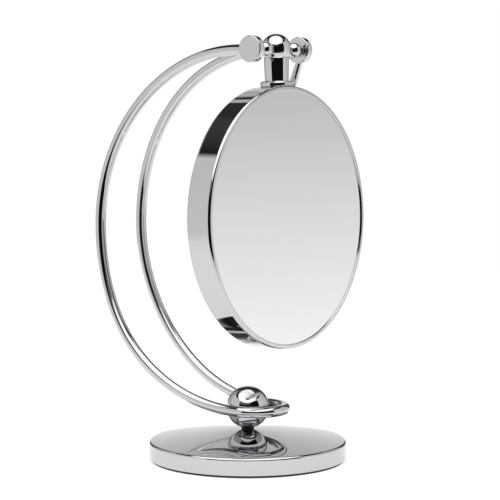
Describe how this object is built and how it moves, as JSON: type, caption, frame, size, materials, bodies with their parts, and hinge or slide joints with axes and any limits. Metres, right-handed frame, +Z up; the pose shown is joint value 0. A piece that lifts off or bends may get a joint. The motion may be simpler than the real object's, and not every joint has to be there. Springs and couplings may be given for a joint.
{
  "type": "countertop mirror",
  "caption": "Round two-sided mirror head hung from a tilting, swivelling neck on one bent rod that wraps a ball over a weighted disc foot.",
  "frame": {"origin": "centre of the foot's underside, on the surface that the mirror stands on", "axes": "+Z up; -Y is the side that the plain mirror faces; X along the tilt pivot; the rod arches on the +Y side"},
  "size_m": [0.195, 0.2054, 0.3212],
  "materials": {
    "polished_chrome": "mirror-polished chrome plate",
    "cast_weight": "as-cast iron disc, painted dark",
    "bare_steel": "plain zinc-plated steel",
    "foot_rubber": "matt black non-slip rubber",
    "brass_insert": "turned brass",
    "white_nylon": "turned nylon",
    "grey_plastic": "moulded plastic",
    "foam_strip": "black foam rubber strip",
    "plain_mirror": "silvered plane glass",
    "magnifying_mirror": "silvered concave glass",
    "mirror_backing": "grey protective paint on the silvering"
  },
  "bodies": {
    "stand": {"base_pad": "foot_rubber", "base_shell": "polished_chrome", "base_weight": "cast_weight", "bottom_plate": "bare_steel", "plate_screws": "bare_steel", "centre_bolt": "bare_steel", "bolt_washer": "bare_steel", "ball_seat": "foot_rubber", "ball": "polished_chrome", "cross_pin": "polished_chrome", "arm_rod": "polished_chrome", "arm_tip_left": "polished_chrome", "arm_tip_right": "polished_chrome", "inner_spacer_left": "polished_chrome", "inner_spacer_right": "polished_chrome", "clamp_sleeve_left": "polished_chrome", "clamp_sleeve_right": "polished_chrome", "friction_washers": "white_nylon", "spring_washers": "bare_steel"},
    "neck": {"neck_housing": "polished_chrome", "neck_gland": "brass_insert", "friction_disc": "white_nylon", "swivel_spring": "bare_steel", "stud_insert_left": "brass_insert", "stud_insert_right": "brass_insert"},
    "head": {"swivel_spindle": "bare_steel", "saddle": "polished_chrome", "saddle_screws": "bare_steel", "spindle_block": "bare_steel", "rim_band": "polished_chrome", "front_bezel": "polished_chrome", "rear_bezel": "polished_chrome", "front_glass": "plain_mirror", "front_backing": "mirror_backing", "rear_glass": "magnifying_mirror", "core_panel": "grey_plastic", "core_ring": "grey_plastic", "front_gasket": "foam_strip", "rear_gasket": "foam_strip"},
    "left_knob": {"knob_left": "polished_chrome"},
    "right_clamp": {"knob_right": "polished_chrome", "clamp_lever": "polished_chrome"}
  },
  "joints": [
    {"name": "head_tilt", "type": "hinge", "parent": "stand", "child": "neck", "pos_m": [0, -0.0263, 0.3094], "axis": [1, 0, 0], "range_deg": [-35, 20]},
    {"name": "head_swivel", "type": "hinge", "parent": "neck", "child": "head", "pos_m": [0, -0.0263, 0.3094], "axis": [0, 0.0297, 0.9996], "continuous": true},
    {"name": "left_knob_turn", "type": "hinge", "parent": "neck", "child": "left_knob", "pos_m": [0, -0.0263, 0.3094], "axis": [1, 0, 0], "range_deg": [-45, 45]},
    {"name": "right_clamp_turn", "type": "hinge", "parent": "neck", "child": "right_clamp", "pos_m": [0, -0.0263, 0.3094], "axis": [1, 0, 0], "range_deg": [0, 75]}
  ]
}
